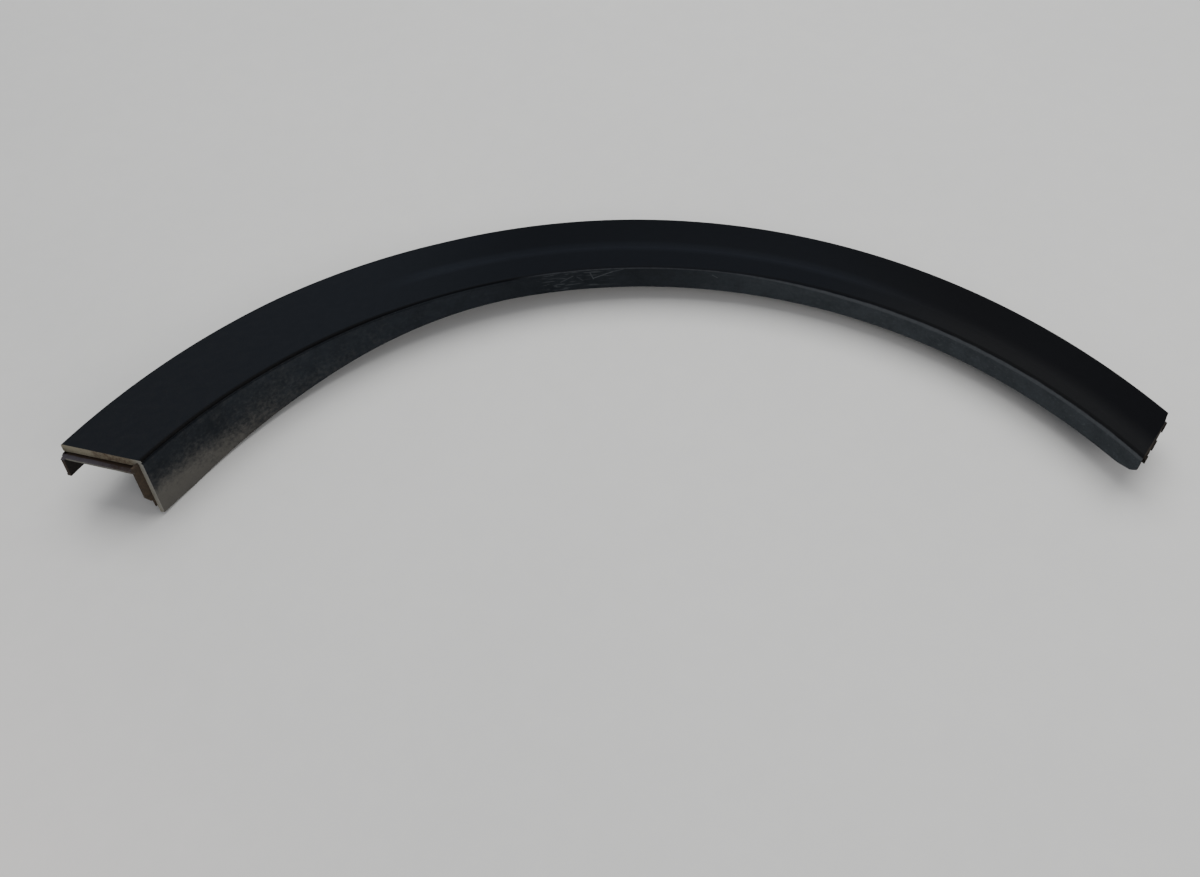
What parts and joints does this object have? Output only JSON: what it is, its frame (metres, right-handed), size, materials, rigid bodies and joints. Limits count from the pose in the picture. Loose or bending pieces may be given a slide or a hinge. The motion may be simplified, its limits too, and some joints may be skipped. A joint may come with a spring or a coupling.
{
  "type": "wheel arch trim",
  "caption": "Curved black plastic wheel arch moulding with a flat to dished face, an inner lip that deepens towards one end, an outer leg, joint tongue, joint teeth and clip seats on the back.",
  "frame": {"origin": "centre of the clip hole at the top of the arch, on the outer side of its seat's plate, 20 mm under the flat of the face and 20 mm in from the outer edge", "axes": "+X along the car, +Y up the car, +Z out of the body side, so the face looks up and the clips point down"},
  "size_m": [0.6969, 0.2322, 0.052],
  "materials": {
    "black_plastic": "fine grained, satin, dusty and scuffed on the deep end of the lip"
  },
  "bodies": {
    "root": {"wheel_arch_trim": "black_plastic"}
  },
  "joints": []
}
